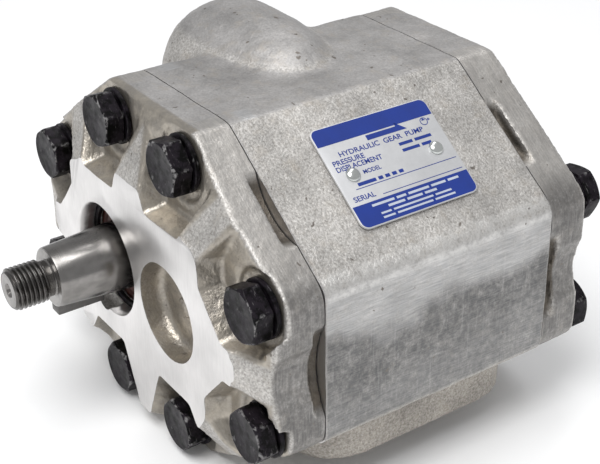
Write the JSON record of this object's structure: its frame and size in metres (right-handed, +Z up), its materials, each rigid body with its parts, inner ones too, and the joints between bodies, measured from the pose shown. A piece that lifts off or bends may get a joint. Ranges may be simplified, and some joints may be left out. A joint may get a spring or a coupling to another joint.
{
  "type": "hydraulic gear pump",
  "caption": "External gear pump: three bolted cast aluminium housings around two meshing gear shafts, with a tapered, keyed and threaded drive shaft.",
  "frame": {"origin": "on the machined mounting face, midway between the two gear axes", "axes": "+X from the drive gear to the driven gear, +Y from the mounting face to the rear cover, +Z up"},
  "size_m": [0.1454, 0.1636, 0.122],
  "materials": {
    "cast_aluminium": "rough sand casting, machined on the mounting face",
    "bearing_alloy": "machined",
    "ground_steel": "ground",
    "black_steel": "black oxide",
    "bronze": "bored",
    "nitrile": "moulded",
    "seal_rubber": "moulded",
    "nameplate": "printed aluminium, blue bands",
    "bright_rivet": "polished"
  },
  "bodies": {
    "housing": {"front_cover": "cast_aluminium", "pump_body": "cast_aluminium", "rear_cover": "cast_aluminium", "front_bolt_1": "black_steel", "front_washer_1": "black_steel", "front_bolt_2": "black_steel", "front_washer_2": "black_steel", "front_bolt_3": "black_steel", "front_washer_3": "black_steel", "front_bolt_4": "black_steel", "front_washer_4": "black_steel", "front_bolt_5": "black_steel", "front_washer_5": "black_steel", "front_bolt_6": "black_steel", "front_washer_6": "black_steel", "front_bolt_7": "black_steel", "front_washer_7": "black_steel", "front_bolt_8": "black_steel", "front_washer_8": "black_steel", "rear_bolt_1": "black_steel", "rear_washer_1": "black_steel", "rear_bolt_2": "black_steel", "rear_washer_2": "black_steel", "rear_bolt_3": "black_steel", "rear_washer_3": "black_steel", "rear_bolt_4": "black_steel", "rear_washer_4": "black_steel", "rear_bolt_5": "black_steel", "rear_washer_5": "black_steel", "rear_bolt_6": "black_steel", "rear_washer_6": "black_steel", "rear_bolt_7": "black_steel", "rear_washer_7": "black_steel", "rear_bolt_8": "black_steel", "rear_washer_8": "black_steel", "shaft_seal": "seal_rubber", "seal_circlip": "black_steel", "front_bearing_block": "bearing_alloy", "front_drive_bush": "bronze", "front_driven_bush": "bronze", "front_balance_seal": "nitrile", "front_body_seal": "nitrile", "front_dowel_1": "ground_steel", "front_dowel_2": "ground_steel", "rear_bearing_block": "bearing_alloy", "rear_drive_bush": "bronze", "rear_driven_bush": "bronze", "rear_balance_seal": "nitrile", "rear_body_seal": "nitrile", "rear_dowel_1": "ground_steel", "rear_dowel_2": "ground_steel", "nameplate": "nameplate", "nameplate_rivet_1": "bright_rivet", "nameplate_rivet_2": "bright_rivet"},
    "drive_gear": {"drive_gear_shaft": "ground_steel", "woodruff_key": "ground_steel"},
    "driven_gear": {"driven_gear_shaft": "ground_steel"}
  },
  "joints": [
    {"name": "drive_spin", "type": "hinge", "parent": "housing", "child": "drive_gear", "pos_m": [-0.02, 0.064, 0], "axis": [0, 1, 0], "continuous": true},
    {"name": "driven_spin", "type": "hinge", "parent": "housing", "child": "driven_gear", "pos_m": [0.02, 0.064, 0], "axis": [0, 1, 0], "continuous": true}
  ],
  "couplings": [
    {"joint": "driven_spin", "follows": "drive_spin", "ratio": -1}
  ]
}
